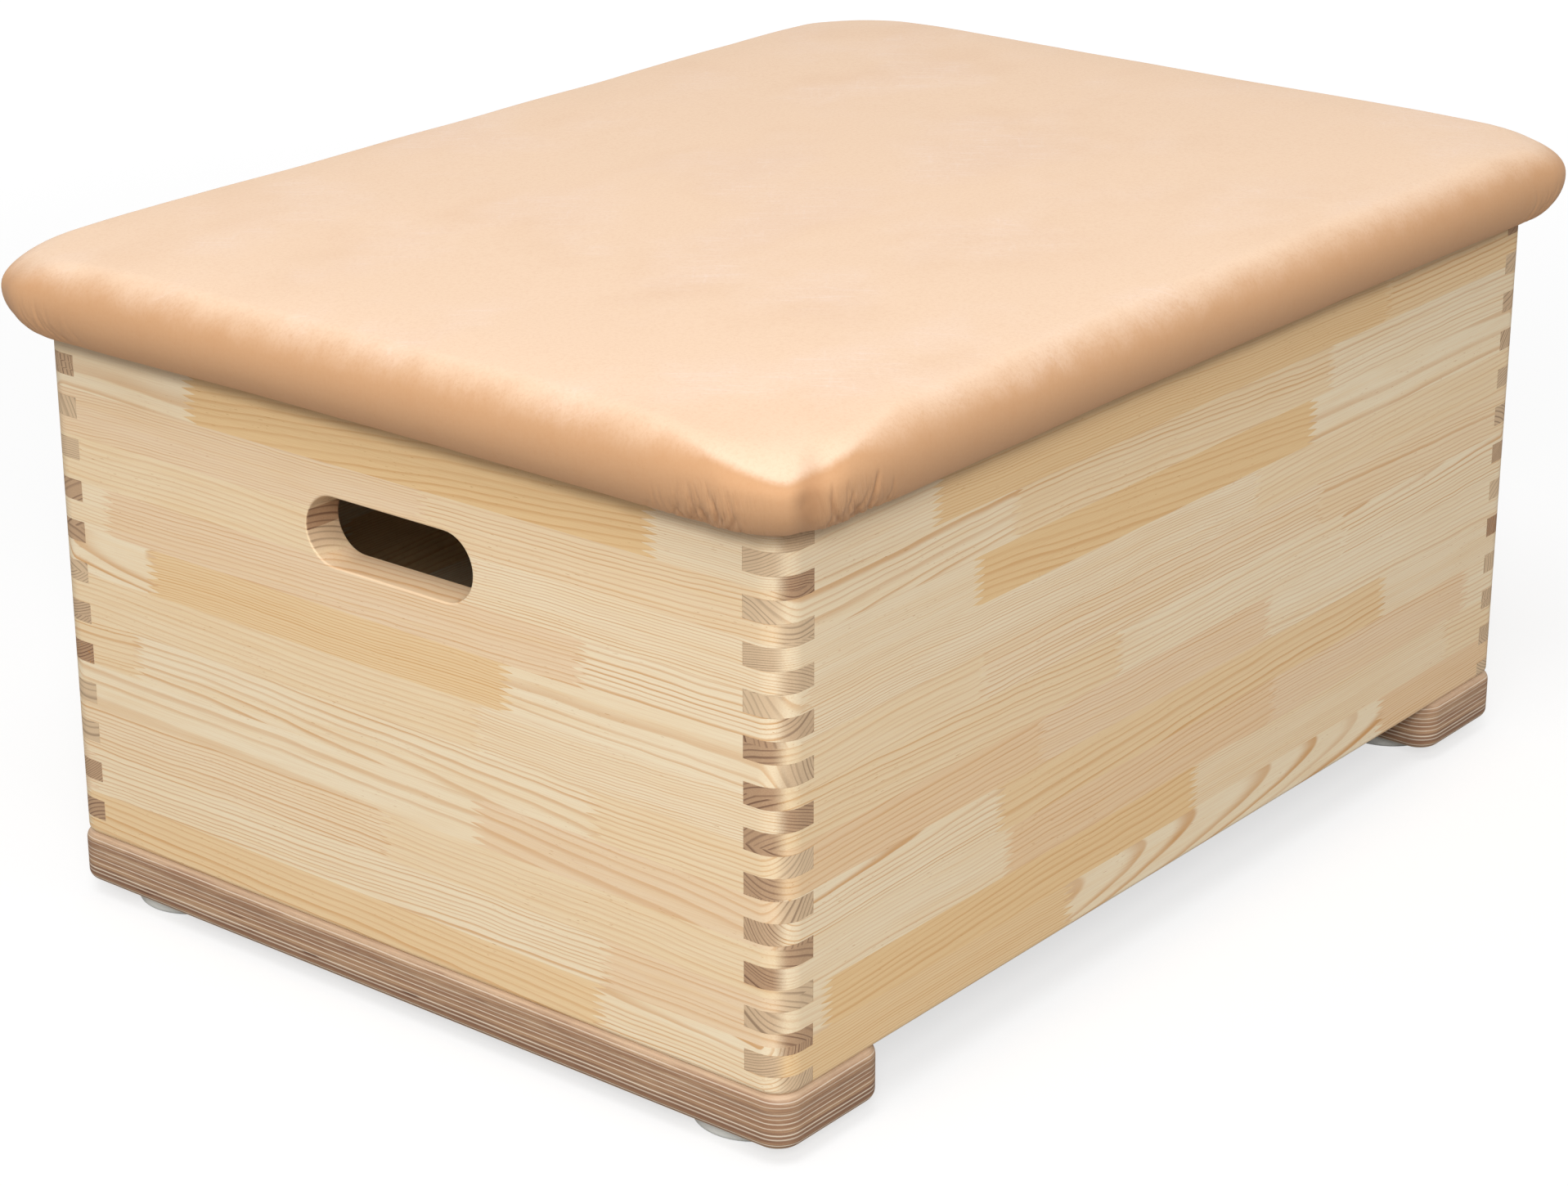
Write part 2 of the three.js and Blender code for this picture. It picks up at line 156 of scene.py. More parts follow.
class Value:
    """A socket of a node tree. Arithmetic on it adds Math nodes, and brackets pick another output."""
    __add__, __radd__ = arithmetic("ADD")
    __sub__, __rsub__ = arithmetic("SUBTRACT")
    __mul__, __rmul__ = arithmetic("MULTIPLY")
    __truediv__, __rtruediv__ = arithmetic("DIVIDE")
    __pow__, __rpow__ = arithmetic("POWER")
    __gt__, __lt__ = arithmetic("GREATER_THAN")

    def __init__(self, graph, socket):
        self.graph = graph
        self.socket = socket

    def __abs__(self):
        return self.graph.math("ABSOLUTE", self)

    def __getitem__(self, output):
        return Value(self.graph, self.socket.node.outputs[output])


class Graph:
    """A node tree under construction."""

    def __init__(self, tree, family="Shader"):
        self.tree = tree
        self.family = family

    def node(self, kind, settings=None, sockets=None, output=0):
        """Adds any node: its settings are set first, then the values or links of its sockets."""
        whole = kind.startswith(("Shader", "Function"))
        made = self.tree.nodes.new(kind if whole else f"{self.family}Node{kind}")
        for key, value in (settings or {}).items():
            if key == "stops":
                self.set_stops(made.color_ramp, value)
            elif key == "items":
                self.set_items(made, value)
            else:
                setattr(made, key, value)
        for key, value in (sockets or {}).items():
            for one in value if isinstance(value, list) else [value]:
                if isinstance(one, Value):
                    self.tree.links.new(one.socket, made.inputs[key])
                else:
                    made.inputs[key].default_value = one
        return Value(self, made.outputs[output])

    def set_stops(self, ramp, stops):
        while len(ramp.elements) < len(stops):
            ramp.elements.new(1)
        for element, (position, colour) in zip(ramp.elements, stops):
            element.position = position
            element.color = (*colour, 1)

    def set_items(self, made, count):
        while len(made.index_switch_items) < count:
            made.index_switch_items.new()

    def math(self, operation, *values):
        return self.node("ShaderNodeMath", {"operation": operation}, dict(enumerate(values)))

    def vector(self, x, y, z):
        return self.node("ShaderNodeCombineXYZ", None, {0: x, 1: y, 2: z})


class Finish(Graph):
    """A material under construction. Constants are set on the surface shader's own sockets."""

    def __init__(self, name, **constants):
        self.material = bpy.data.materials.new(name)
        self.material.use_nodes = True
        super().__init__(self.material.node_tree)
        self.shader = self.tree.nodes["Principled BSDF"]
        for socket, value in constants.items():
            self.shader.inputs[socket.replace("_", " ")].default_value = value

    def place(self):
        """Object coordinates in millimetres, as three values."""
        spot = self.node("TexCoord", output="Object")
        return [axis / MM for axis in self.three(spot)]

    def three(self, vector):
        """The three parts of a colour or vector."""
        parts = self.node("SeparateXYZ", None, {0: vector})
        return [parts[axis] for axis in "XYZ"]

    def noise(self, x, y, z, detail=2, roughness=0.5):
        sockets = {"Vector": self.vector(x, y, z), "Scale": 1, "Detail": detail, "Roughness": roughness}
        return self.node("TexNoise", None, sockets)

    def chance(self, *values):
        """Random numbers, the same wherever the values are the same."""
        return self.node("TexWhiteNoise", None, {"Vector": self.vector(*values)})

    def step(self, value, low, high):
        """Rises smoothly from 0 at low to 1 at high."""
        sockets = {"Value": value, "From Min": low, "From Max": high}
        return self.node("MapRange", {"interpolation_type": "SMOOTHSTEP"}, sockets)

    def ramp(self, value, stops):
        return self.node("ValToRGB", {"stops": stops}, {0: value})

    def mix(self, share, first, second):
        colours = [one if isinstance(one, Value) else (*one, 1) for one in (first, second)]
        return self.node("Mix", {"data_type": "RGBA"}, {0: share, 6: colours[0], 7: colours[1]}, output=2)

    def note(self, name):
        """A value that the piece's mesh holds under this name."""
        return self.node("Attribute", {"attribute_name": name}, output="Fac")

    def bump(self, height, distance, strength):
        return self.node("Bump", None, {"Height": height, "Distance": distance, "Strength": strength})

    def finish(self, **surface):
        for socket, value in surface.items():
            self.tree.links.new(value.socket, self.shader.inputs[socket.replace("_", " ")])
        return self.material


# Colours, as they look in plain light
def colour(red, green, blue):
    """A colour from its 8-bit values, in the linear values that Blender works with."""
    return tuple(((c / 255 + 0.055) / 1.055) ** 2.4 for c in (red, green, blue))


CREAM = colour(254, 235, 201)
HONEY = colour(246, 209, 154)
BLUSH = colour(247, 215, 177)
LATE_WOOD = colour(217, 155, 84)
END_PALE = colour(226, 197, 160)
END_DARK = colour(174, 132, 98)
END_RING = colour(96, 60, 40)
RESIN = colour(196, 130, 48)
# Painted shade under the cover's overhang
UNDER_COVER_SHADE = colour(138, 106, 70)

STAVE = (27.8, 340)  # mm, height and mean length
WHOLE = (60, 5000)  # mm, for a rail of one piece
TOOTH_PITCH, TOOTH_LENGTH = 4.2, 11  # mm, of the joints between staves


def pine(name, node, along, shift, stave=STAVE):
    """Pine with its grain along X or Y, glued up from staves of the given height and mean length."""
    m = Finish(name)
    low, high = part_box(node)
    middle = (low + high) / (2 * MM)
    x, y, z = m.place()
    u, depth = (x, y - middle.y) if along == "X" else (y, x - middle.x)
    height, length = stave
    level = (z - low.z / MM) / height
    row = m.math("FLOOR", level)
    run = u / length + m.chance(row, shift, 3) * 40
    teeth = m.math("PINGPONG", z, TOOTH_PITCH / 2) * (TOOTH_LENGTH * 2 / TOOTH_PITCH / length)
    sockets = {"W": run + teeth, "Scale": 1}
    cell = m.node("TexVoronoi", {"voronoi_dimensions": "1D"}, sockets, output="Color")
    from_middle = (run - cell["W"]) * length
    tone, turn, size = m.three(cell)
    lean, tilt, width = m.three(m.chance(tone, turn, size)["Color"])
    blush, side, bold = m.three(m.chance(size, tone, lean)["Color"])

    # Growth rings run round a pith that lies off the stave, nearly in line with it
    angle = (turn - 0.5) * 2.7
    away = 24 + size * 80
    above = m.math("SIGN", side - 0.5)
    pith_z = m.math("COSINE", angle) * away * above + from_middle * (lean - 0.5) * 0.045
    pith_d = m.math("SINE", angle) * away + from_middle * (tilt - 0.5) * 0.11
    wave = m.noise(u / 190, row * 7, shift, detail=1) * 9
    wave = wave + m.noise(u / 52, z / 30, depth / 30, detail=1) * 2.2
    wave = wave + m.noise(u / 19, z / 22, depth / 22, detail=1) * 0.8
    across_z = (level - row - 0.5) * height - pith_z + wave
    across = m.math("SQRT", across_z ** 2 + (depth - pith_d) ** 2)
    rings = across / (1.3 + width ** 1.4 * 2.7) + m.noise(across / 8, row * 3, tone * 9, detail=1) * 2.2
    phase = m.math("FRACT", rings)
    ring = m.chance(m.math("FLOOR", rings), tone, size)
    late = m.step(phase, 0.48, 0.86) * (1 - m.step(phase, 0.89, 0.98))
    late = late * (0.4 + ring * 0.6) * (0.62 + m.noise(u / 75, z / 7, depth / 7, detail=1) * 0.7)

    fibre = m.noise(u / 42, z * 2.1, depth * 2.1, detail=3, roughness=0.6)
    streak = m.noise(u / 260, z / 2.6, depth / 2.6, roughness=0.6)
    cloud = m.noise(u / 120, z / 12, depth / 12)
    dash = m.step(m.noise(u / 6, z * 1.6, depth * 1.6, detail=1), 0.70, 0.75)
    dash = dash * m.step(m.noise(u / 90, z / 18, depth / 18, detail=1), 0.50, 0.62)

    base = m.mix(m.step(tone, 0.45, 1.0), CREAM, HONEY)
    base = m.mix(m.step(blush, 0.7, 0.95) * 0.7, base, BLUSH)
    base = m.mix(m.step(cloud, 0.35, 0.75) * 0.2 + m.step(streak, 0.5, 0.72) * 0.22, base, HONEY)
    grain = m.mix(late * (0.4 + bold * 0.45), base, LATE_WOOD)
    grain = m.mix(m.step(fibre, 0.42, 0.74) * 0.2, grain, LATE_WOOD)
    grain = m.mix(dash * 0.6, grain, RESIN)

    # Where the cut runs across the grain, the wood is browner and its rings are dark
    cut = m.step(m.note("end_cut") + (fibre - 0.5) * 0.12, 0.5, 0.9)
    finger = m.math("FLOOR", (z - PANEL_Z / MM - LOWEST_FINGER / MM) / (FINGER_PITCH / MM))
    shade = m.chance(finger, shift, 8)
    speck = m.noise(x * 1.3, y * 1.3, z * 1.3, roughness=0.7)
    end = m.mix(m.step(shade, 0.1, 0.95) * 0.8 + (speck - 0.5) * 0.5, END_PALE, END_DARK)
    line = m.step(phase, 0.5, 0.78) * (1 - m.step(phase, 0.84, 0.98)) * (0.4 + ring * 0.6)
    end = m.mix(line * (0.45 + shade * 0.45), end, END_RING)
    pitch = m.step(m.noise(u / 9, z / 1.8, depth / 1.1, detail=1), 0.62, 0.7) * (shade > 0.9)
    end = m.mix(pitch * 0.8, end, RESIN)
    wood = m.mix(cut, grain, end)

    # Painted shade: the panels are darker in a band right under the cover's overhang
    if stave == STAVE:
        level = z - high.z / MM + m.noise(u / 30, 0, shift) * 3
        under = m.step(level, -11, -3.5)
        wood = m.mix(under * (0.3 + speck * 0.25), wood, UNDER_COVER_SHADE)

    relief = late * 0.45 + fibre * 0.55
    sheen = 0.46 + fibre * 0.12 + cut * 0.2 - late * 0.06
    return m.finish(Base_Color=wood, Roughness=sheen, Normal=m.bump(relief, 0.00018, 0.35))


DARK_PLY = colour(138, 100, 75)
PLY_TONES = [(0.0, colour(194, 156, 121)), (0.35, colour(158, 118, 89)), (0.65, colour(202, 167, 133)),
             (1.0, DARK_PLY)]
PALE_PLY = colour(248, 232, 209)
VENEER = colour(236, 208, 176)
VENEER_DEEP = colour(204, 164, 130)
PLY_GAP = colour(92, 54, 34)


def plywood(name, node, plies):
    """Beech plywood: its crossed plies show as thin pale lines between brown ones, with plain veneers."""
    m = Finish(name)
    low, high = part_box(node)
    x, y, z = m.place()
    pair = (high.z - low.z) / MM / plies * 2
    around = x + y * 0.8
    bend = m.noise(x / 55, y / 55, z / 9) * 0.34
    level = (z - low.z / MM) / pair + bend
    ply = m.math("FLOOR", level)
    phase = m.math("FRACT", level)
    draw, strong, place = m.three(m.chance(ply, low.z / MM, 4)["Color"])
    along_line = m.noise(around / 26, ply * 5, 1)
    thin = 0.02 + draw * 0.07
    line = 1 - m.step(abs(phase - (0.32 + place * 0.36)), thin, thin + 0.1)
    hair = 1 - m.step(abs(phase - 0.98), 0.0, 0.05)
    streak = m.noise(x / 13, y / 13, z * 2.6, detail=3, roughness=0.6)
    long_streak = m.noise(x / 70, y / 70, ply * 3)
    grit = m.noise(x * 1.5, y * 1.5, z * 2.4, roughness=0.7)
    edge = m.ramp(m.step(draw * 0.5 + long_streak * 0.4 + streak * 0.35, 0.3, 0.9), PLY_TONES)
    edge = m.mix(m.step(grit, 0.4, 0.75) * 0.3, edge, DARK_PLY)
    edge = m.mix(line * (0.25 + strong * 0.5 + along_line * 0.4), edge, PALE_PLY)
    edge = m.mix(hair * 0.35, edge, PLY_GAP)
    spread = (around + draw * 90) / 21
    spot = m.math("FRACT", spread)
    low_down = 1 - m.step(z, low.z / MM + 6, low.z / MM + 18)
    gap = m.chance(m.math("FLOOR", spread), ply, 6) > 0.975 - low_down * 0.09
    gap = gap * (1 - m.step(abs(spot - 0.5), 0.12, 0.34)) * (1 - m.step(abs(phase - 0.2), 0.1, 0.24))
    edge = m.mix(gap * 0.85, edge, PLY_GAP)
    figure = m.noise(x / 3, y / 70, z / 3, detail=4, roughness=0.6)
    face = m.mix(m.step(figure, 0.3, 0.75) * 0.35, VENEER, VENEER_DEEP)
    underside = 1 - m.step(z, low.z / MM + 0.1, low.z / MM + 0.3)
    flat = m.step(m.math("MAXIMUM", m.note("veneer"), underside), 0.9, 0.985)
    upper = m.step(z, high.z / MM - 3.2, high.z / MM - 1.2) * 0.6
    shown = m.mix(m.math("MAXIMUM", flat, upper), edge, face)
    relief = line * 0.5 + grit * 0.5 - gap * 2
    return m.finish(Base_Color=shown, Roughness=0.5 + grit * 0.15, Normal=m.bump(relief, 0.00025, 0.3))


def glide_plastic():
    """Off-white moulded plastic with a faint haze of scuffs."""
    m = Finish("glide_plastic", Roughness=0.35, IOR=1.49)
    x, y, z = m.place()
    haze = m.noise(x / 9, y / 9, z / 9, detail=4)
    scuff = m.step(m.noise(x / 2, y / 14, z / 2, detail=3), 0.58, 0.72) * (1 - m.step(z, 0.2, 2.5))
    base = m.mix(haze * 0.4, colour(246, 246, 240), colour(234, 232, 224))
    base = m.mix(scuff * 0.5, base, colour(176, 170, 160))
    gloss = 0.3 + haze * 0.15 + scuff * 0.3
    return m.finish(Base_Color=base, Roughness=gloss, Normal=m.bump(haze, 0.0002, 0.15))


def zinc():
    """Bright zinc plating, a little clouded."""
    m = Finish("zinc_steel", Metallic=1.0)
    x, y, z = m.place()
    cloud = m.noise(x / 4, y / 4, z / 4, detail=3)
    base = m.mix(cloud, colour(196, 198, 202), colour(160, 158, 150))
    return m.finish(Base_Color=base, Roughness=0.24 + cloud * 0.25)


def foam():
    """Open-cell foam."""
    m = Finish("foam", Roughness=0.95)
    x, y, z = m.place()
    cell = m.node("TexVoronoi", None, {"Vector": m.vector(x, y, z), "Scale": 0.9})
    base = m.mix(m.step(cell, 0.1, 0.7), colour(196, 186, 158), colour(226, 218, 194))
    return m.finish(Base_Color=base, Normal=m.bump(cell, 0.0006, 0.6))


LEATHER_TOP = colour(250, 217, 186)
# Painted shade: the sides, sloping away from the top, are darker
LEATHER_SHADED_SIDE = colour(217, 167, 122)
LEATHER_PALE = colour(255, 229, 211)
LEATHER_DEEP = colour(214, 160, 114)
LEATHER_CREASE_SHADE = colour(168, 116, 76)


def suede():
    """Undyed split leather: a soft nap with pale scuffs on top, and warmer sides painted darker as shade by
    their slope, with handling marks.
    """
    m = Finish("leather", Sheen_Weight=0.06, Sheen_Roughness=0.5)
    x, y, z = m.place()
    notes = ("side", "around", "rise", "crease", "gathered")
    side, around, rise, crease, gathered = (m.note(name) for name in notes)
    drift = m.noise(x / 26, y / 26, z / 26, detail=3, roughness=0.6) - 0.5
    side = m.step(side + drift * 0.9, -1, 1)
    blotch = m.noise(x / 120, y / 90, z / 70, detail=3)
    nap = m.noise(x / 2.0, y / 2.0, z / 2.0, detail=3, roughness=0.7)
    pore = m.noise(x * 1.3, y * 1.3, z * 1.3, roughness=0.6)
    worn = m.noise(x / 105, y / 80, z / 70, detail=3)
    patch = m.step(worn, 0.46, 0.66)
    skew, sway = x * 0.6 - y * 0.8, x * 0.8 + y * 0.6
    scratch = m.step(m.noise(skew / 24, sway / 2.6, z / 8, detail=3, roughness=0.6), 0.52, 0.7)
    cross = m.step(m.noise(sway / 22, skew / 3.4, z / 8, detail=3, roughness=0.6), 0.58, 0.72)
    scuff = patch * (scratch * 0.65 + cross * 0.35 + 0.3) * (1 - side)
    stroke = m.noise(around / 1.3, rise / 17, 0, detail=3, roughness=0.6)
    bruise = m.noise(around / 14, rise / 22, 4, detail=3, roughness=0.6)
    # Painted shade: the sides are darker than the top by their slope, and their nap shows darker too; the
    # strokes and bruises on them are handling wear
    base = m.mix(side, LEATHER_TOP, LEATHER_SHADED_SIDE)
    base = m.mix(m.step(blotch, 0.45, 0.75) * 0.14, base, LEATHER_DEEP)
    base = m.mix(scuff * 0.62, base, LEATHER_PALE)
    handled = m.step(stroke, 0.42, 0.72) * 0.14 + m.step(bruise, 0.48, 0.75) * 0.36
    base = m.mix(side * handled, base, LEATHER_DEEP)
    base = m.mix(m.step(nap, 0.42, 0.7) * (0.14 + side * 0.2), base, LEATHER_DEEP)
    # Painted light and shade on the fine puckers, which are only bump: a painted highlight on their ridges,
    # painted shade in their grooves
    pucker = m.noise(around / 1.5 + rise / 9, rise / 15, 9, roughness=0.6)
    groove = gathered * (1 - m.step(pucker, 0.3, 0.52))
    base = m.mix(gathered * m.step(pucker, 0.55, 0.75) * 0.3, base, LEATHER_TOP)
    # Painted shade in the creases of the gathers, beside the fold and in the fine puckers' grooves
    base = m.mix(m.math("MAXIMUM", m.step(crease, 0.08, 1.0) * 0.46, groove * 0.4), base, LEATHER_CREASE_SHADE)
    relief = nap * 0.6 + pore * 0.3 + side * stroke * 0.3 - scuff * 0.3 - groove * 2.4
    return m.finish(Base_Color=base, Roughness=0.8 + nap * 0.15, Normal=m.bump(relief, 0.0004, 0.35))


def link(name, data):
    """A new object in the scene."""
    made = bpy.data.objects.new(name, data)
    bpy.context.scene.collection.objects.link(made)
    return made


def make_object(name, points, faces, material=None):
    """An object at the origin with its place in its mesh, its faces turned outwards."""
    mesh = bpy.data.meshes.new(name)
    mesh.from_pydata([tuple(p) for p in points], [], [tuple(f) for f in faces])
    form = bmesh.new()
    form.from_mesh(mesh)
    bmesh.ops.remove_doubles(form, verts=form.verts, dist=MM / 1000)
    bmesh.ops.recalc_face_normals(form, faces=form.faces)
    form.to_mesh(mesh)
    form.free()
    if material:
        mesh.materials.append(material)
    return link(name, mesh)


def settle(made):
    """Makes the object's modifiers part of its mesh."""
    bpy.context.view_layer.update()
    result = made.evaluated_get(bpy.context.evaluated_depsgraph_get())
    mesh = bpy.data.meshes.new_from_object(result)
    made.modifiers.clear()
    made.data = mesh
    mesh.name = made.name


def carve(made, cutter):
    """Cuts a closed form out of a closed piece."""
    cut = made.modifiers.new("cut", "BOOLEAN")
    cut.operation = "DIFFERENCE"
    cut.solver = "EXACT"
    cut.object = cutter
    settle(made)
    bpy.data.objects.remove(cutter)


def smooth(made):
    """Shades round stretches smoothly and keeps flat faces flat."""
    for face in made.data.polygons:
        face.use_smooth = True
    made.data.set_sharp_from_angle(angle=SHARP_ANGLE)
    weigh = made.modifiers.new("weigh", "WEIGHTED_NORMAL")
    weigh.keep_sharp = True
    settle(made)


def mark(made, name, axis):
    """Notes on each face corner how squarely its surface faces along an axis, from 0 to 1."""
    mesh = made.data
    facing = np.zeros(len(mesh.loops) * 3, np.float32)
    mesh.corner_normals.foreach_get("vector", facing)
    note = mesh.attributes.new(name, "FLOAT", "CORNER")
    note.data.foreach_set("value", np.abs(facing.reshape(-1, 3) @ np.array(axis, np.float32)))


def dress(made, slot, *replaced):
    """Seats a finished piece in the frame."""
    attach(made, "root")
    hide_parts(*replaced)


def quarter(radius, steps):
    """How far a rounded edge stands back at each depth below the face that it runs into."""
    for i in range(steps + 1):
        turn = math.pi / 2 * i / steps
        yield radius * (1 - math.cos(turn)), radius * (1 - math.sin(turn))


def ring_faces(rings, count):
    """Faces between neighbouring rings of as many points as count says."""
    faces = []
    for ring in range(rings - 1):
        a, b = ring * count, (ring + 1) * count
        faces.extend((a + i, b + i, b + (i + 1) % count, a + (i + 1) % count) for i in range(count))
    return faces


def capped_faces(rings, count):
    """The same, with a face over the first ring and one over the last."""
    last = (rings - 1) * count
    return [*ring_faces(rings, count), tuple(range(count)), tuple(range(last, last + count))]


def finger_levels(height, first_reaches):
    """Rows of (height, inset, whether it reaches), at the heights where a panel's plan changes."""
    cuts = [0.0]
    cut = LOWEST_FINGER
    while height - cut > SHORTEST_FINGER:
        cuts.append(cut)
        cut += FINGER_PITCH
    cuts.append(height)
    levels = []
    for row in range(len(cuts) - 1):
        reaches = (row % 2 == 0) == first_reaches
        play = FINGER_PLAY / 2 if reaches else -FINGER_PLAY / 2
        first, last = row == 0, row == len(cuts) - 2
        low = [(z, inset, reaches) for z, inset in quarter(BODY_EDGE_RADIUS, EDGE_STEPS)]
        high = [(height - z, inset, reaches) for z, inset in quarter(BODY_EDGE_RADIUS, EDGE_STEPS)]
        levels.append((low if first else [(cuts[row] + play, 0, reaches)])
                      + (high[::-1] if last else [(cuts[row + 1] - play, 0, reaches)]))
    return levels


def panel_form(length, first_reaches, place):
    """A panel's points and faces. place turns a spot along and through the panel into x and y."""
    half, depth = length / 2, PANEL_THICKNESS
    neck = half - depth - FINGER_PLAY
    points, faces = [], []

    def spot(u, v, z):
        points.append((*place(u, v), PANEL_Z + z))
        return len(points) - 1

    def finger(side, inset, z):
        radius = ARRIS_RADIUS - inset
        arc = []
        for i in range(ARRIS_STEPS + 1):
            turn = math.pi / 2 * i / ARRIS_STEPS
            u = half - ARRIS_RADIUS + radius * math.sin(turn)
            arc.append((u, ARRIS_RADIUS - radius * math.cos(turn)))
        return [spot(side * u, v, z) for u, v in [*arc, (half - inset, depth)]]

    before = None
    levels = finger_levels(PANEL_HEIGHT, first_reaches)
    for row in levels:
        ring_before = None
        for z, inset, reaches in row:
            if ring_before is None and before is not None:
                core = before
            else:
                plan = ((-neck, inset), (neck, inset), (neck, depth), (-neck, depth))
                core = [spot(u, v, z) for u, v in plan]
            ends = {side: finger(side, inset, z) for side in (-1, 1)} if reaches else {}
            loops = {1: [core[1], *ends.get(1, []), core[2]], -1: [core[0], *ends.get(-1, []), core[3]]}
            if ring_before is not None:
                old_core, old_loops = ring_before
                faces.append((old_core[0], old_core[1], core[1], core[0]))
                faces.append((old_core[2], old_core[3], core[3], core[2]))
                for side in (-1, 1):
                    old, new = old_loops[side], loops[side]
                    faces.extend((old[i], old[i + 1], new[i + 1], new[i]) for i in range(len(new) - 1))
            elif reaches:
                faces.extend(tuple(loops[side]) for side in (-1, 1))
            ring_before = (core, loops)
            if z in (0, PANEL_HEIGHT):
                faces.append(tuple(core))
        if reaches:
            faces.extend(tuple(loops[side]) for side in (-1, 1))
        before = core
    return points, faces


def slot_cutter(place):
    """The form of the hand slot, flared where its edges are eased."""
    half = SLOT_LENGTH / 2 - SLOT_HEIGHT / 2
    rings = [(-OVERRUN, SLOT_EASE), *quarter(SLOT_EASE, EASE_STEPS)]
    rings += [(PANEL_THICKNESS - v, stand) for v, stand in reversed(rings)]
    points = []
    for v, stand in rings:
        radius = SLOT_HEIGHT / 2 + stand
        for end in (1, -1):
            for i in range(SLOT_STEPS + 1):
                turn = math.pi * (i / SLOT_STEPS - 0.5) + (math.pi if end < 0 else 0)
                u, z = end * half + radius * math.cos(turn), radius * math.sin(turn)
                points.append((*place(u, v), PANEL_Z + PANEL_HEIGHT - SLOT_DROP + z))
    return make_object("slot_cutter", points, capped_faces(len(rings), 2 * (SLOT_STEPS + 1)))


PLACES = {
    "left": lambda u, v: (-BODY_X + v, -u),
    "right": lambda u, v: (BODY_X - v, u),
    "front": lambda u, v: (u, -BODY_Y + v),
    "back": lambda u, v: (-u, BODY_Y - v),
}


def panels():
    """The four pine panels, each with its own draw of staves."""
    for number, side in enumerate(SIDES):
        is_end = side in ENDS
        length = 2 * (BODY_Y if is_end else BODY_X)
        along = "Y" if is_end else "X"
        node = f"{'end' if is_end else 'side'}_panel_{side}"
        wood = pine(f"pine_{side}", node, along, 11 + number * 17)
        made = make_object(f"pine_{side}_panel", *panel_form(length, is_end, PLACES[side]), wood)
        if is_end:
            carve(made, slot_cutter(PLACES[side]))
        smooth(made)
        mark(made, "end_cut", (0, 1, 0) if is_end else (1, 0, 0))
        dress(made, "pine", node)


def batten_form(low, high):
    """A block with rounded upright corners and rounded edges."""
    middle = (low + high) / 2
    half = (high - low) / 2
    rise = list(quarter(BATTEN_EDGE, BATTEN_EDGE_STEPS))
    rings = rise + [(2 * half.z - z, inset) for z, inset in reversed(rise)]
    points = []
    for z, inset in rings:
        for k, (sx, sy) in enumerate(QUARTERS):
            for i in range(BATTEN_CORNER_STEPS + 1):
                turn = math.pi / 2 * (k + i / BATTEN_CORNER_STEPS)
                radius = BATTEN_CORNER - inset
                points.append((middle.x + sx * (half.x - BATTEN_CORNER) + radius * math.cos(turn),
                               middle.y + sy * (half.y - BATTEN_CORNER) + radius * math.sin(turn), low.z + z))
    return points, capped_faces(len(rings), 4 * (BATTEN_CORNER_STEPS + 1))


def battens():
    """The plywood battens, with their veneers above and below."""
    for side in ENDS:
        node = f"base_batten_{side}"
        low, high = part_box(node)
        ply = plywood(f"plywood_{side}", node, BATTEN_PLIES)
        made = make_object(f"plywood_batten_{side}", *batten_form(low, high), ply)
        smooth(made)
        mark(made, "veneer", (0, 0, 1))
        dress(made, "plywood", node)


# Hardware. Each Geometry Nodes tree turns one piece from its sizes and sets it at every point of a mesh.
GLIDE = {"Radius": 34 * MM, "Height": 10 * MM, "Edge rounding": 2.5 * MM, "Screw hole": 4.4 * MM}
SCREWS = {
    "batten": {"Length": 70 * MM, "Shank radius": 3 * MM, "Head radius": 6 * MM, "Head height": 3.5 * MM},
    "rail": {"Length": 40 * MM, "Shank radius": 2.5 * MM, "Head radius": 5 * MM, "Head height": 3 * MM},
    "glide": {"Length": 28 * MM, "Shank radius": 2 * MM, "Head radius": 4 * MM, "Head height": 2.4 * MM},
}
THREAD_PITCH_SHARE = 0.9  # of the shank's radius
CORE_SHARE = 0.72  # of the shank's radius
AXIS_RADIUS = 0.01 * MM  # the circle that a profile is swept round


def turned(graph, profile, sides, rounding=None):
    """A form turned about Z from (radius, height) pairs. rounding holds the number of a pair and a radius."""
    count = len(profile)
    line = graph.node("MeshLine", None, {"Count": count})
    spots = [graph.vector(radius - AXIS_RADIUS, -1 * height, 0) for radius, height in profile]
    index = graph.node("InputIndex")
    spot = graph.node("IndexSwitch", {"data_type": "VECTOR", "items": count},
                      {0: index, **{i + 1: s for i, s in enumerate(spots)}})
    curve = graph.node("MeshToCurve", None, {0: line})
    curve = graph.node("SetPosition", None, {"Geometry": curve, "Position": spot})
    if rounding is not None:
        corner, radius = rounding
        settings = {"data_type": "INT", "operation": "EQUAL"}
        here = graph.node("FunctionNodeCompare", settings, {2: index, 3: corner})
        sockets = {"Curve": curve, "Count": 10, "Radius": here * radius, "Limit Radius": True}
        curve = graph.node("FilletCurve", {"mode": "POLY"}, sockets)
    circle = graph.node("CurvePrimitiveCircle", None, {"Resolution": sides, "Radius": AXIS_RADIUS})
    swept = graph.node("CurveToMesh", None, {"Curve": circle, "Profile Curve": curve})
    return graph.node("MergeByDistance", None, {"Geometry": swept, "Distance": 2 * AXIS_RADIUS})


def glide_form(graph, size):
    """A glide: a disc with a slightly rounded lower edge and a countersunk hole in its sole."""
    hole, radius, height = size["Screw hole"], size["Radius"], size["Height"]
    profile = [(hole * 0.6, height), (hole * 0.6, height * 0.4), (hole, height * 0.12), (hole * 1.1, 0),
               (radius, 0), (radius, height), (hole * 0.6, height)]
    return turned(graph, profile, 72, (4, size["Edge rounding"]))


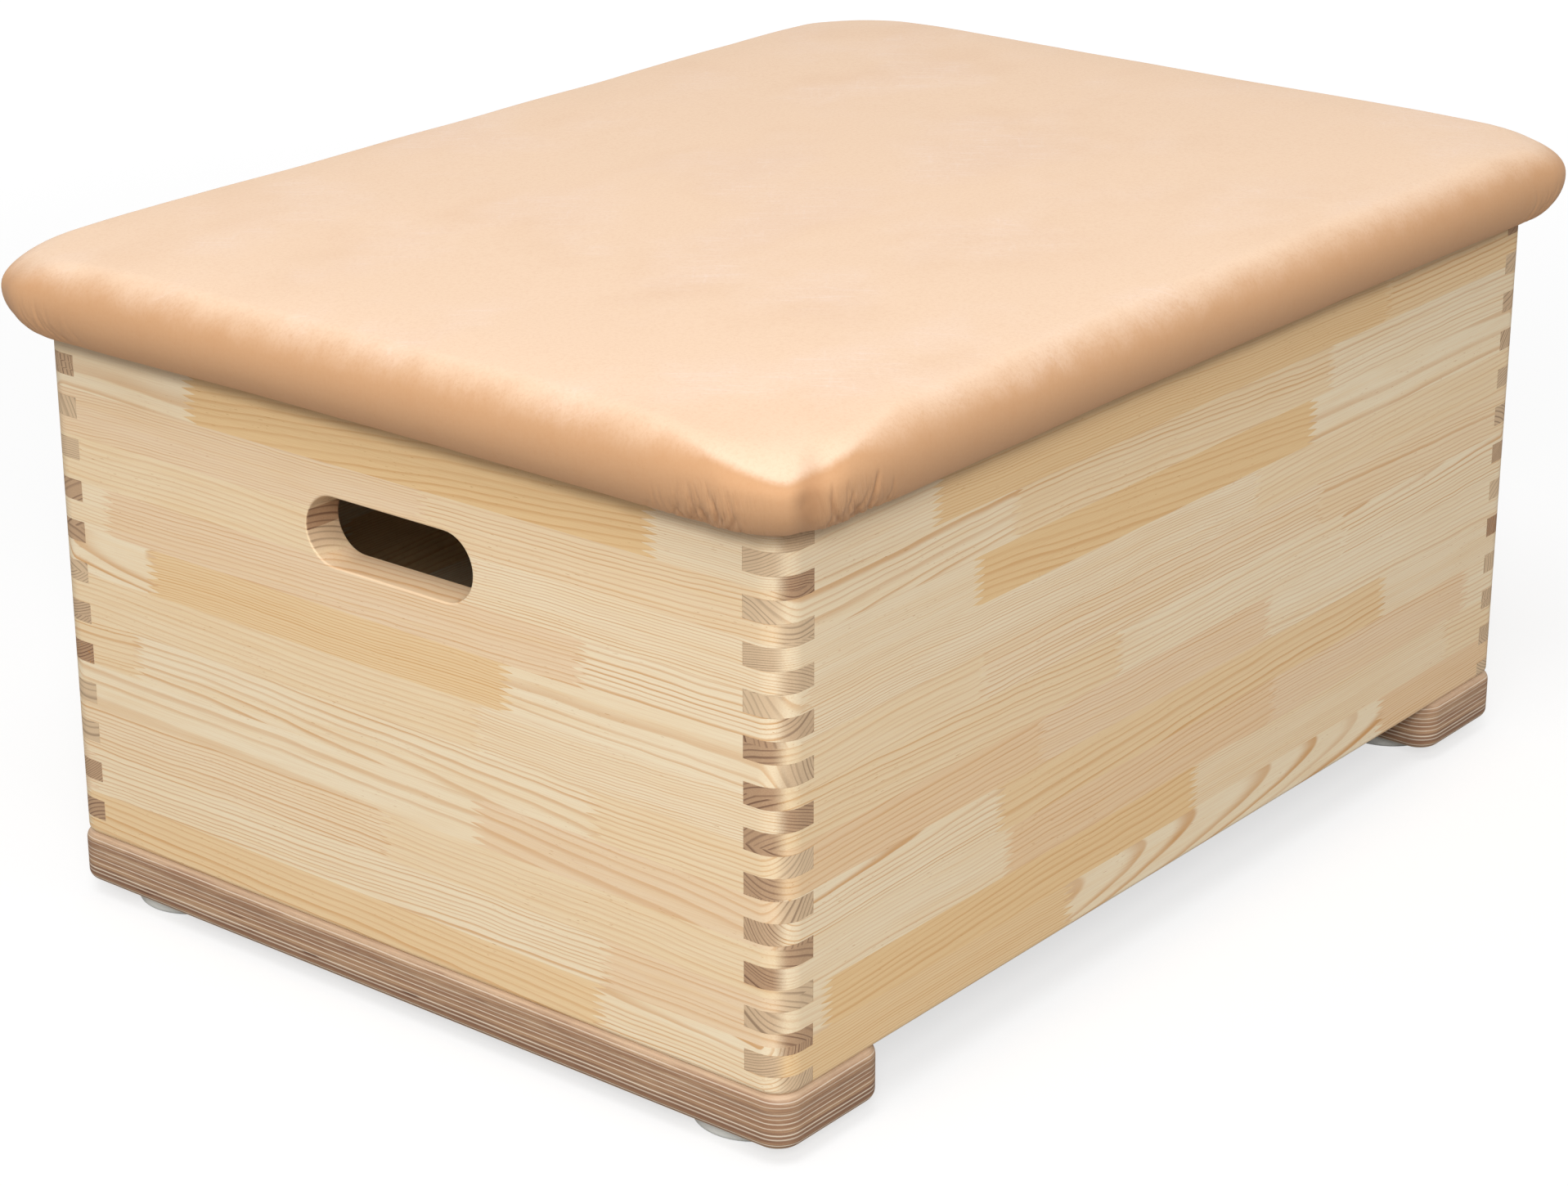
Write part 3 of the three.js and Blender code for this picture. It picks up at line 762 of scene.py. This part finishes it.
def screw_form(graph, size):
    """A countersunk wood screw, head down, with a cross recess and a thread."""
    length, shank, head, rise = (size[k] for k in ("Length", "Shank radius", "Head radius", "Head height"))
    core = shank * CORE_SHARE
    profile = [(0, 0), (head, 0), (head, rise * 0.12), (shank, rise), (shank, length * 0.3),
               (core, length * 0.34), (core, length * 0.86), (0, length)]
    body = turned(graph, profile, 24)
    arms = [graph.node("MeshCube", None, {"Size": graph.vector(head * across, head * along, rise * 1.1)})
            for across, along in ((0.24, 1.15), (1.15, 0.24))]
    settings = {"operation": "DIFFERENCE", "solver": "EXACT"}
    body = graph.node("MeshBoolean", settings, {"Mesh 1": body, "Mesh 2": arms})
    threaded = length * 0.5
    turns = threaded / (shank * THREAD_PITCH_SHARE)
    sockets = {"Resolution": 18, "Rotations": turns, "Height": threaded,
               "Start Radius": core, "End Radius": core}
    helix = graph.node("CurveSpiral", None, sockets)
    ridge = graph.node("CurvePrimitiveCircle", None, {"Resolution": 3, "Radius": shank - core})
    thread = graph.node("CurveToMesh", None, {"Curve": helix, "Profile Curve": ridge, "Fill Caps": True})
    offset = graph.vector(0, 0, length * 0.35)
    thread = graph.node("Transform", None, {"Geometry": thread, "Translation": offset})
    return graph.node("JoinGeometry", None, {0: [body, thread]})


def hardware(name, form, sizes, replaced, material, slot):
    """Sets one turned piece at the foot of every node that it replaces, as one mesh."""
    tree = bpy.data.node_groups.new(name, "GeometryNodeTree")
    graph = Graph(tree, "Geometry")
    kinds = {"Places": "Geometry", **{label: "Float" for label in sizes}, "Finish": "Material"}
    for label, kind in kinds.items():
        tree.interface.new_socket(label, in_out="INPUT", socket_type="NodeSocket" + kind)
    tree.interface.new_socket("Pieces", in_out="OUTPUT", socket_type="NodeSocketGeometry")
    given = Value(graph, tree.nodes.new("NodeGroupInput").outputs[0])
    piece = form(graph, {label: given[label] for label in sizes})
    copies = graph.node("InstanceOnPoints", None, {"Points": given["Places"], "Instance": piece})
    real = graph.node("RealizeInstances", None, {0: copies})
    real = graph.node("SetMaterial", None, {"Geometry": real, "Material": given["Finish"]})
    tree.links.new(real.socket, tree.nodes.new("NodeGroupOutput").inputs[0])

    mesh = bpy.data.meshes.new(name)
    mesh.from_pydata([foot_of(node) for node in replaced], [], [])
    made = link(name, mesh)
    build = made.modifiers.new("build", "NODES")
    build.node_group = tree
    inputs = {s.name: s.identifier for s in tree.interface.items_tree if s.in_out == "INPUT"}
    for label, value in {**sizes, "Finish": material}.items():
        build[inputs[label]] = value
    settle(made)
    made.data.materials.clear()
    made.data.materials.append(material)
    smooth(made)
    dress(made, slot, *replaced)


def foot_of(node):
    """The middle of a node's underside."""
    low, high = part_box(node)
    return (low.x + high.x) / 2, (low.y + high.y) / 2, low.z


def fasteners():
    """The glides and the screws, each kind one piece."""
    metal = zinc()
    discs = sorted(node for node in nodes if node.startswith("glide_") and "screw" not in node)
    hardware("glides", glide_form, GLIDE, discs, glide_plastic(), "glide_plastic")
    for kind, sizes in SCREWS.items():
        screws = sorted(node for node in nodes if node.startswith(f"{kind}_screw_"))
        hardware(f"{kind}_screws", screw_form, sizes, screws, metal, "zinc_steel")


def columns(fine, coarse):
    """Upright columns round the pad: each one's quarter, way out, pull, run from its corner, and corner."""
    signs, facing, pull, run, corner = [], [], [], [], []
    corners = np.array(QUARTERS)
    arc = PAD_CORNER * math.pi / 2
    for k in range(4):
        here, after = corners[k], corners[(k + 1) % 4]
        steps = round(arc / fine)
        for i in range(steps):
            turn = math.pi / 2 * (k + i / steps)
            signs.append(here)
            facing.append((math.cos(turn), math.sin(turn)))
            pull.append(0.0)
            run.append(arc * (i / steps - 0.5))
            corner.append(k)
        turn = math.pi / 2 * (k + 1)
        length = 2 * ((PAD_X if k % 2 == 0 else PAD_Y) - PAD_CORNER)
        spread = min(SPREAD, length / 3)
        spots = [*np.arange(0, spread, fine), *np.arange(spread, length - spread, coarse),
                 *np.arange(length - spread, length, fine)]
        for s in spots:
            share = s / length
            signs.append(here + (after - here) * share)
            facing.append((math.cos(turn), math.sin(turn)))
            pull.append(PAD_DRAW * (1 - (2 * share - 1) ** 2))
            near = s < length / 2
            run.append(arc / 2 + s if near else s - length - arc / 2)
            corner.append(k if near else (k + 1) % 4)
    return [np.array(a) for a in (signs, facing, pull, run, corner)]


def underside_radius(inset):
    """The corner radius of a ring on the pad's underside, by how far in it lies."""
    return max(LOWER_ROLL[2] - (inset - LOWER_ROLL[0]), 0)


def pad_profile(depth, roll_steps, crown_steps, hem=()):
    """Rings from the crown to the underside: inset, scale, height, slope from up to down, corner radius."""
    rings = []
    reach, drop, radius = UPPER_ROLL
    for i in range(crown_steps + 1):
        scale = i / crown_steps
        rings.append((reach, scale, PAD_RIM + START_CROWN * (1 - scale ** 2), 0.0, radius))
    for i in range(1, roll_steps + 1):
        turn = math.pi / 2 * i / roll_steps
        out = math.sin(turn)
        rings.append((reach * (1 - out), 1, PAD_RIM - drop * (1 - math.cos(turn)), turn,
                      radius + (PAD_CORNER - radius) * out))
    reach, drop, radius = LOWER_ROLL
    for i in range(roll_steps + 1):
        turn = math.pi / 2 * i / roll_steps
        out = math.cos(turn)
        rings.append((reach * (1 - out), 1, drop * (1 - math.sin(turn)), math.pi / 2 + turn,
                      radius + (PAD_CORNER - radius) * out))
    rings.extend((inset, 1, 0, math.pi, underside_radius(inset)) for inset in hem)
    rings = np.array(rings)
    inward = depth * np.sin(rings[:, 3])
    rings[:, 0] += inward
    rings[:, 2] -= depth * np.cos(rings[:, 3])
    rings[:, 4] -= inward
    return rings


def gathers(run, corner, path):
    """How far the leather is drawn in where it is gathered round the corners."""
    depth = np.zeros((len(path), len(run)))
    draw = random.Random(7)
    for k in range(4):
        for _ in range(GATHERS):
            side = draw.choice((-1, 1))
            middle = side * draw.triangular(*GATHER_SPOTS) * MM
            width = draw.uniform(*GATHER_WIDTHS) * MM
            fading = 1 - abs(abs(middle) - GATHER_MIDDLE) / GATHER_FADE
            deep = draw.uniform(*GATHER_STRENGTHS) ** 2 * GATHER_DEPTH * fading * CORNER_FOLDS[k]
            lean = draw.uniform(-GATHER_LEAN, GATHER_LEAN)
            bend = draw.uniform(-GATHER_BEND, GATHER_BEND) * MM
            low = draw.uniform(*GATHER_FEET) * GATHER_TOP
            high = low + draw.uniform(*GATHER_LENGTHS) * GATHER_TOP
            rise = ((path - low) / (high - low))[:, None]
            here = middle + lean * path[:, None] + bend * np.sin(np.clip(rise, 0, 1) * math.pi)
            across = np.exp(-((run[None, :] - here) / width) ** 2)
            fade = np.clip(4 * rise * (1 - rise), 0, 1)
            depth += np.where(corner[None, :] == k, deep * across * fade, 0)
    return GATHER_LIMIT * np.tanh(depth / GATHER_LIMIT)


def pad_points(rings, cols):
    """The ring points of the pad and the way each faces."""
    signs, facing, pull, run, corner = cols
    inset, scale, height, slope, radius = (rings[:, i, None] for i in range(5))
    spots = np.empty((len(rings), len(signs), 3))
    out = np.sin(slope)
    fold = PINCH * np.exp(-(run / np.where(run < 0, *PINCH_WIDTHS)) ** 2)
    fold -= PLEAT * np.exp(-((run - PLEAT_SPOT) / PLEAT_WIDTH) ** 2)
    fold *= CORNER_FOLDS[corner]
    pinch = fold[None, :] * np.sqrt(np.maximum(out, 0))
    for axis, half in enumerate((PAD_X, PAD_Y)):
        edge = signs[None, :, axis] * (half - inset - radius)
        spots[:, :, axis] = (edge + (radius + pinch - pull[None, :]) * facing[None, :, axis]) * scale
    from_corner = np.hypot(PAD_X - abs(spots[:, :, 0]), PAD_Y - abs(spots[:, :, 1]))
    rise = np.clip((height - PAD_RIM / 2) / (PAD_RIM / 2), 0, 1)
    falloff = np.clip(1 - (from_corner - DROP_START) / DROP_REACH, 0, 1) ** 2
    drop = CORNER_DROPS[corner] * falloff * rise ** 2 * (3 - 2 * rise)
    spots[:, :, 2] = PAD_FOOT + height - drop
    ways = np.empty_like(spots)
    for axis in (0, 1):
        ways[:, :, axis] = out * facing[None, :, axis]
    ways[:, :, 2] = np.cos(slope)
    return spots, ways


def swelling():
    """The pad's skin swells as cloth under pressure: its faces, their points and how far each moves."""
    cols = columns(fine=8 * MM, coarse=16 * MM)
    hem = np.linspace(LOWER_ROLL[0], HEM_REACH, 4)[1:]
    rings = pad_profile(0, roll_steps=7, crown_steps=8, hem=hem)
    closing = rings[-1:] * (1, 0, 1, 1, 1)
    rings = np.concatenate([rings, closing])
    spots, _ = pad_points(rings, cols)
    skin = make_object("swelling_skin", spots.reshape(-1, 3), ring_faces(len(rings), len(cols[0])))
    even = skin.modifiers.new("even", "REMESH")
    even.mode = "VOXEL"
    even.voxel_size = SWELL_VOXEL
    settle(skin)
    start = mesh_points(skin.data)
    seated = start[:, 2] < PAD_FOOT + SEAT_FADE / 2
    held = skin.vertex_groups.new(name="held")
    for which, weight in ((seated, 1.0), (~seated, SWELL_HOLD)):
        held.add([int(i) for i in np.flatnonzero(which)], weight, "REPLACE")
    cloth = skin.modifiers.new("cloth", "CLOTH")
    hide = cloth.settings
    hide.quality = 5
    hide.mass = 0.3
    hide.tension_stiffness = hide.compression_stiffness = hide.shear_stiffness = 15
    hide.bending_stiffness = 2
    hide.vertex_group_mass = "held"
    hide.pin_stiffness = 1
    hide.use_pressure = True
    hide.uniform_pressure_force = SWELL_PRESSURE
    hide.effector_weights.gravity = 0
    cloth.point_cache.frame_end = SWELL_FRAMES
    for step in range(1, SWELL_FRAMES + 1):
        bpy.context.scene.frame_set(step)
    settle(skin)
    move = mesh_points(skin.data) - start
    reach = np.linalg.norm(move, axis=1, keepdims=True)
    move *= SWELL_CAP * np.tanh(reach / SWELL_CAP) / np.maximum(reach, MM / 1000)
    faces = [tuple(face.vertices) for face in skin.data.polygons]
    bpy.data.objects.remove(skin)
    bpy.context.scene.frame_set(1)
    return faces, start, move


def mesh_points(mesh):
    """The mesh's points as rows of an array."""
    points = np.empty(len(mesh.vertices) * 3, np.float32)
    mesh.vertices.foreach_get("co", points)
    return points.reshape(-1, 3).astype(float)


def swell(spots, swollen):
    """Carries the movement of the swollen skin over to finer ring points."""
    faces, start, move = swollen
    corners = [Vector(point) for point in start]
    tree = BVHTree.FromPolygons(corners, faces)
    points = spots.reshape(-1, 3)
    for i, spot in enumerate(points):
        near, _, face, _ = tree.find_nearest(spot)
        lift = min(max((spot[2] - PAD_FOOT) / SEAT_FADE, 0), 1)
        shares = poly_3d_calc([corners[c] for c in faces[face]], near)
        points[i] += lift * (np.array(shares) @ move[list(faces[face])])
    return points.reshape(spots.shape)


def note_points(made, notes, spots):
    """Keeps values of the ring points as attributes. The pole's points have been merged into one."""
    shape = spots.shape[:2]
    points = spots.reshape(-1, 3)
    tree = KDTree(len(points))
    for i, spot in enumerate(points):
        tree.insert(spot, i)
    tree.balance()
    nearest = [tree.find(v.co)[1] for v in made.data.vertices]
    for name, values in notes.items():
        note = made.data.attributes.new(name, "FLOAT", "POINT")
        note.data.foreach_set("value", np.broadcast_to(values, shape).reshape(-1)[nearest].astype(np.float32))


def leather_notes(rings, cols, spots, path, creased):
    """What the leather's material reads: creases painted dark as shade, puckers, the side painted darker as
    shade by its slope, and the way round and up it.
    """
    _, _, _, run, corner = cols
    folds = CORNER_FOLDS[corner]
    # Painted shade in the hollow beside the fold
    beside = folds * np.exp(-((run - PLEAT_SPOT) / (1.3 * PLEAT_WIDTH)) ** 2)
    beside = beside[None, :] * np.sin(rings[:, 3])[:, None]
    # The side's painted shade begins at a steeper slope near the corners, where it also sets in more crisply
    tongue = np.clip(1 - abs(run) / TONGUE, 0, 1) * folds
    edge = EDGE_SLOPE[0] + (EDGE_SLOPE[1] - EDGE_SLOPE[0]) * tongue
    crisp = np.clip(2 - abs(run) / TONGUE, 0, 1) * folds
    change = EDGE_CHANGE[0] + (EDGE_CHANGE[1] - EDGE_CHANGE[0]) * crisp
    slope = np.degrees(rings[:, 3])[:, None]
    puckers = np.exp(-((abs(run) - PUCKER_SPOT) / PUCKER_SPREAD) ** 2) * folds
    reach = np.clip(path / PUCKER_START, 0, 1) * np.clip(1.8 - path / PUCKER_FADE, 0, 1)
    middle = spots[len(rings) // 2]
    around = np.cumsum(np.linalg.norm(np.diff(middle, axis=0, append=middle[:1]), axis=1))
    return {"gathered": puckers[None, :] * reach[:, None],
            "crease": np.clip(creased / CREASE_DEPTH + 0.85 * beside, 0, 1),
            "around": around[None, :] / MM, "rise": path[:, None] / MM, "side": (slope - edge) / change}


def leather_top(swollen):
    """The leather cover: a crowned skin with rolled edges, gathered at its corners and turned in below."""
    cols = columns(FINE, COARSE)
    run, corner = cols[3:]
    hem = np.linspace(LOWER_ROLL[0], HEM_REACH, 7)[1:]
    rings = pad_profile(0, roll_steps=17, crown_steps=11, hem=hem)
    spots, ways = pad_points(rings, cols)
    steps = np.linalg.norm(np.diff(spots[:, 0], axis=0), axis=1)
    path = np.concatenate([[0], np.cumsum(steps)])
    path = path[-1] - path - (HEM_REACH - LOWER_ROLL[0])    # from the seat's edge up over the side
    creased = gathers(run, corner, path)
    drawn = creased.copy()
    for r, c in np.ndindex(creased.shape):
        spot = Vector(spots[r, c])
        drawn[r, c] -= sum(noise.noise(spot / length) * height for length, height in WAVES)
    lift = np.clip(path / SEAT_FADE, 0, 1)[:, None]
    if swollen:
        spots = swell(spots, swollen)
    spots -= ways * (drawn * lift)[:, :, None]
    spots[0] = spots[0].mean(axis=0)
    made = make_object("leather_top", spots.reshape(-1, 3), ring_faces(len(rings), len(run)), suede())
    note_points(made, leather_notes(rings, cols, spots, path, creased), spots)
    thick = made.modifiers.new("thick", "SOLIDIFY")
    thick.thickness = LEATHER
    thick.offset = -1
    settle(made)
    for face in made.data.polygons:
        face.use_smooth = True
    dress(made, "leather", "leather_cover")


def foam_core(swollen):
    """The foam under the leather, hollowed underneath for the board."""
    cols = columns(fine=9 * MM, coarse=30 * MM)
    rings = pad_profile(FOAM_DEPTH, roll_steps=8, crown_steps=6)
    outside, _ = pad_points(rings, cols)
    if swollen:
        outside = swell(outside, swollen)
    inset = PAD_X - BOARD_HIGH.x - FOAM_PLAY
    top = BOARD_HIGH.z - PAD_FOOT + FOAM_PLAY
    low, radius = rings[-1][2], underside_radius(inset)
    recess = [(inset, 1, low, 0, radius), (inset, 1, top, 0, radius), (inset, 0, top, 0, radius)]
    spots = np.concatenate([outside, pad_points(np.array(recess), cols)[0]])
    made = make_object("foam_core", spots.reshape(-1, 3), ring_faces(len(spots), len(cols[0])), foam())
    smooth(made)
    dress(made, "foam", "pad_foam")


def inner_frame():
    """The rails and the board keep their own forms and get their wood."""
    for number, side in enumerate(SIDES):
        node = f"rail_{side}"
        wood = pine(f"pine_{node}", node, "Y" if side in ENDS else "X", 90 + number * 13, WHOLE)
        nodes[node].data.materials[0] = wood
    nodes["top_board"].data.materials[0] = plywood("plywood_board", "top_board", BOARD_PLIES)


WORLD_LEVEL = 0.5  # the light of the surround on the box
FLOOR = 0.38  # grey of the floor
FLOOR_GLOW = 0.66  # seen by the camera only, so that the open floor is white
FAR_GLOW = 0.86  # where the lamps reach less
FLOOR_FAR = (0.8, 3.2)  # metres from the middle, between which the glow changes
# Each lamp's name, power in watts, width in metres, and place
LAMPS = (("key", 79, 2.4, (-2.28, -1.19, 4.49)), ("fill", 76, 1.2, (-3.04, -2.44, 2.45)))
LAMP_AIM = Vector((0, 0, 0.2))

# The camera, worked out from the corners, the finger rows and the outlines in the photograph
LENS = 86.601  # mm
HEADING, TILT = math.radians(38.691), math.radians(21.363)
CAMERA_SPOT = (-1.70053, -1.33223, 0.9879)


def floor_and_world():
    """A white floor that shows the box's shadow, and a white surround."""
    half = 30
    corners = [(-half, -half, 0), (half, -half, 0), (half, half, 0), (-half, half, 0)]
    floor = make_object("floor", corners, [(0, 1, 2, 3)])
    m = Finish("floor_white", Roughness=1.0, Specular_IOR_Level=0.0, Base_Color=(FLOOR, FLOOR, FLOOR, 1))
    x, y, _ = m.place()
    far = m.step(m.math("SQRT", x * x + y * y) * MM, *FLOOR_FAR)
    seen = m.node("LightPath", output="Is Camera Ray")
    glow = m.mix(seen, (0, 0, 0), m.mix(far, (FLOOR_GLOW,) * 3, (FAR_GLOW,) * 3))
    m.shader.inputs["Emission Strength"].default_value = 1
    floor.data.materials.append(m.finish(Emission_Color=glow))

    world = bpy.data.worlds.new("surround")
    bpy.context.scene.world = world
    world.use_nodes = True
    g = Graph(world.node_tree)
    path = g.node("LightPath")
    bare = g.math("MAXIMUM", g.math("MAXIMUM", path["Is Camera Ray"], path["Is Glossy Ray"]),
                  path["Is Transmission Ray"])
    back = world.node_tree.nodes["Background"]
    back.inputs["Color"].default_value = (1, 1, 1, 1)
    g.tree.links.new((WORLD_LEVEL + bare * (1 - WORLD_LEVEL)).socket, back.inputs["Strength"])


def lamps():
    """Two round lamps that shine at the box."""
    for name, power, size, spot in LAMPS:
        data = bpy.data.lights.new(name, "AREA")
        data.energy = power
        data.shape = "DISK"
        data.size = size
        made = link(name, data)
        made.location = spot
        made.rotation_euler = (LAMP_AIM - Vector(spot)).to_track_quat("-Z", "Y").to_euler()


def camera():
    """The photograph's viewing angle."""
    data = bpy.data.cameras.new("camera")
    data.sensor_width = 36
    data.lens = LENS
    made = link("camera", data)
    view = Vector((math.cos(HEADING) * math.cos(TILT), math.sin(HEADING) * math.cos(TILT), -math.sin(TILT)))
    made.location = CAMERA_SPOT
    made.rotation_euler = view.to_track_quat("-Z", "Y").to_euler()
    bpy.context.scene.camera = made


camera()
floor_and_world()
lamps()
panels()
battens()
fasteners()
inner_frame()
swollen = swelling()
foam_core(swollen)
leather_top(swollen)

bpy.context.scene.view_settings.view_transform = "Standard"
